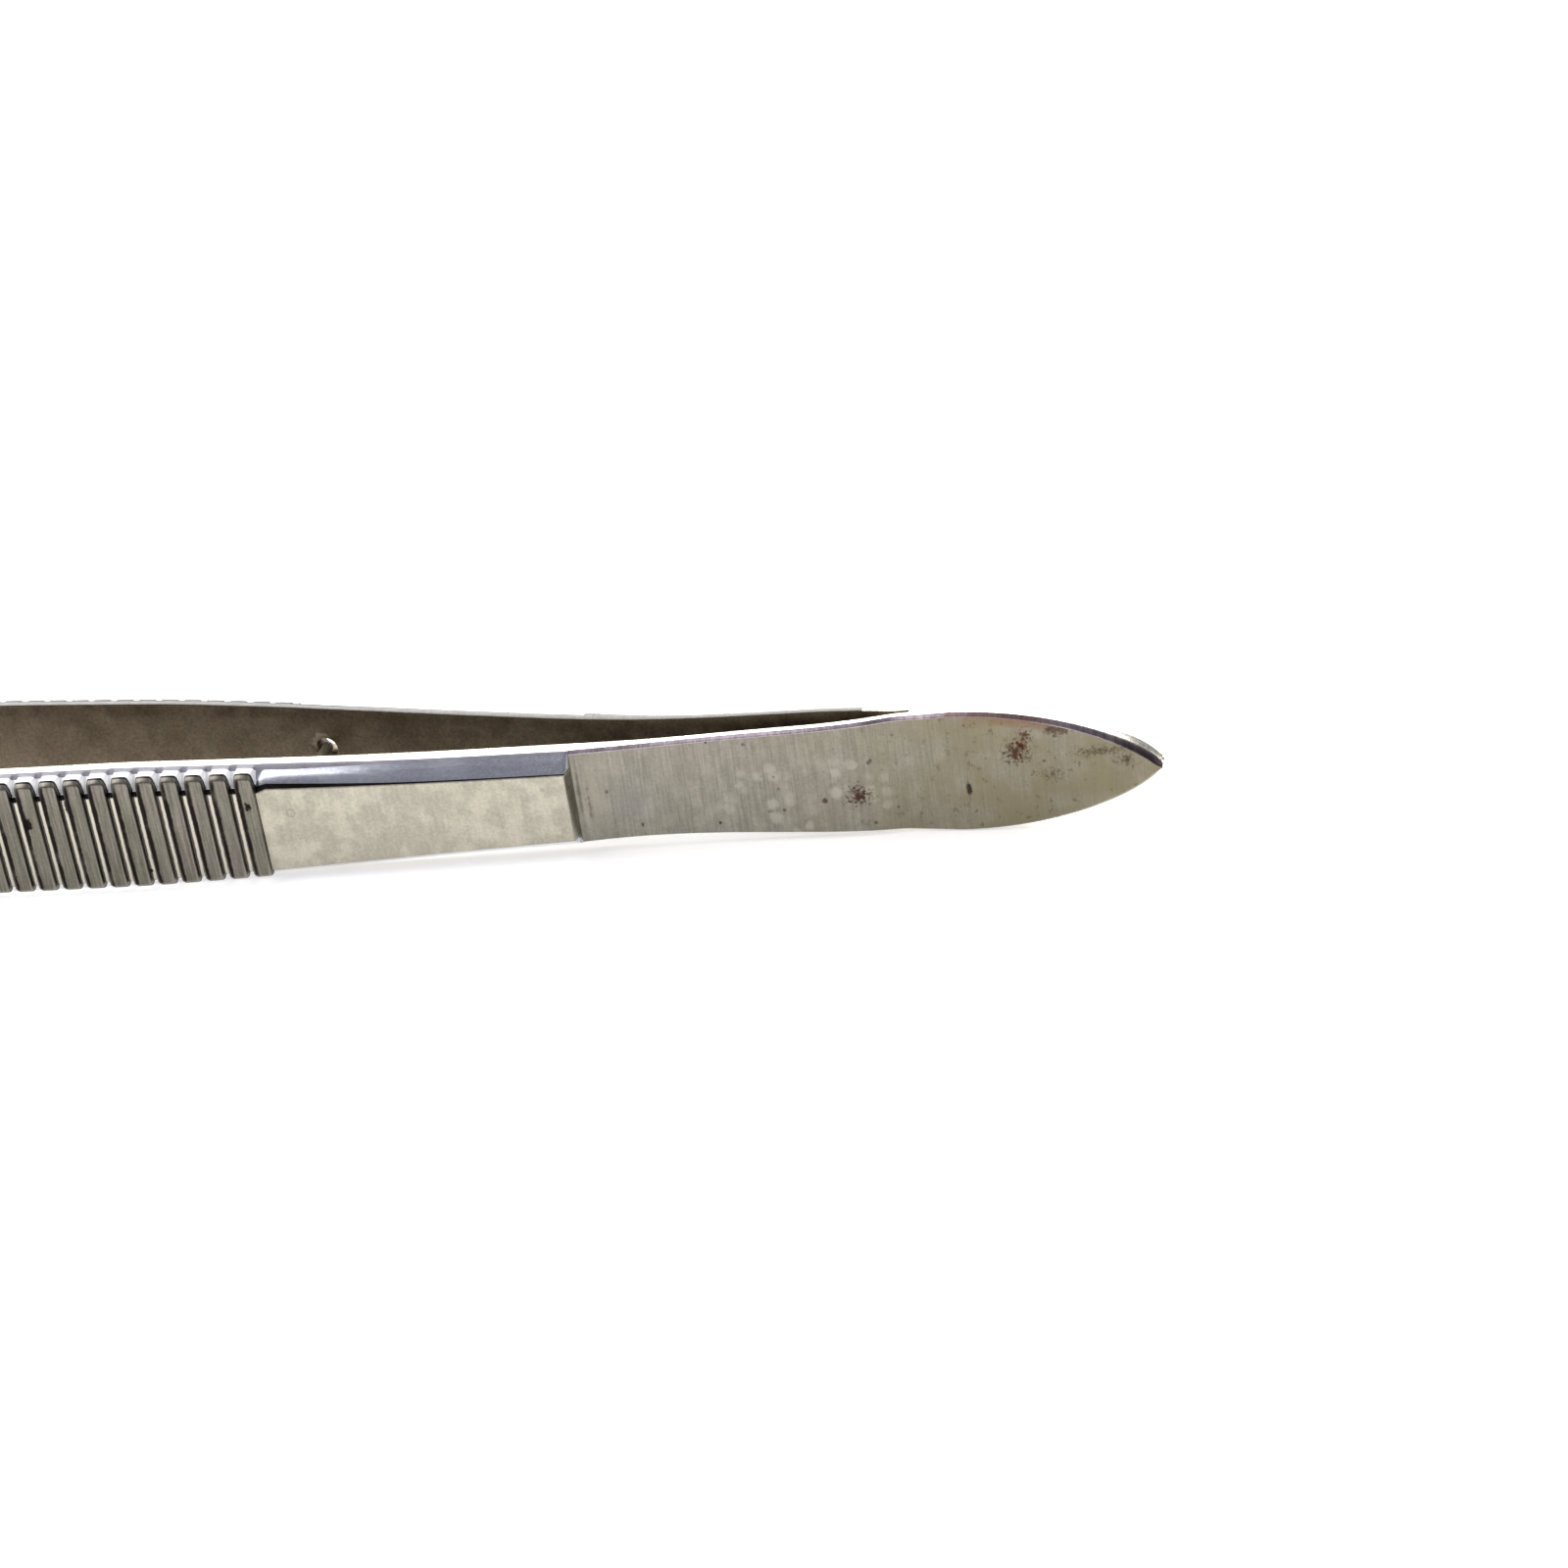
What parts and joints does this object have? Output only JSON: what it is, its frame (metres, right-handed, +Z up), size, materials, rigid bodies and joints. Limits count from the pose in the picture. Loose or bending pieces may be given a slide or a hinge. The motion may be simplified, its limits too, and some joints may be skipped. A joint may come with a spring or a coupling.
{
  "type": "spring tweezers",
  "caption": "Long stainless spring tweezers with a leaf-shaped welded butt, smooth panels, ribbed finger grips, a guide pin and slender serrated jaws for planting.",
  "frame": {"origin": "under the middle of the length, midway between the arms, on the plane that the narrow edges rest on", "axes": "+X along the tweezers to the welded butt, tips towards -X; +Y across the opening to the far arm; +Z up across the width"},
  "size_m": [0.15, 0.0162, 0.0097],
  "materials": {
    "satin_stainless": "satin, cross-brushed, water-stained",
    "weld_metal": "ground flush",
    "drawn_stainless": "drawn wire, polished"
  },
  "bodies": {
    "butt": {"near_leaf_root": "satin_stainless", "far_leaf_root": "satin_stainless", "butt_weld": "weld_metal"},
    "near_arm": {"near_arm": "satin_stainless", "guide_pin": "drawn_stainless"},
    "far_arm": {"far_arm": "satin_stainless"}
  },
  "joints": [
    {"name": "near_arm_flex", "type": "hinge", "parent": "butt", "child": "near_arm", "pos_m": [0.049, -0.00133, 0.00485], "axis": [0, 0, -1], "range_deg": [0, 3], "stiffness_Nm_per_rad": 2.3},
    {"name": "far_arm_flex", "type": "hinge", "parent": "butt", "child": "far_arm", "pos_m": [0.049, 0.00133, 0.00485], "axis": [0, 0, 1], "range_deg": [0, 3], "stiffness_Nm_per_rad": 2.3}
  ]
}
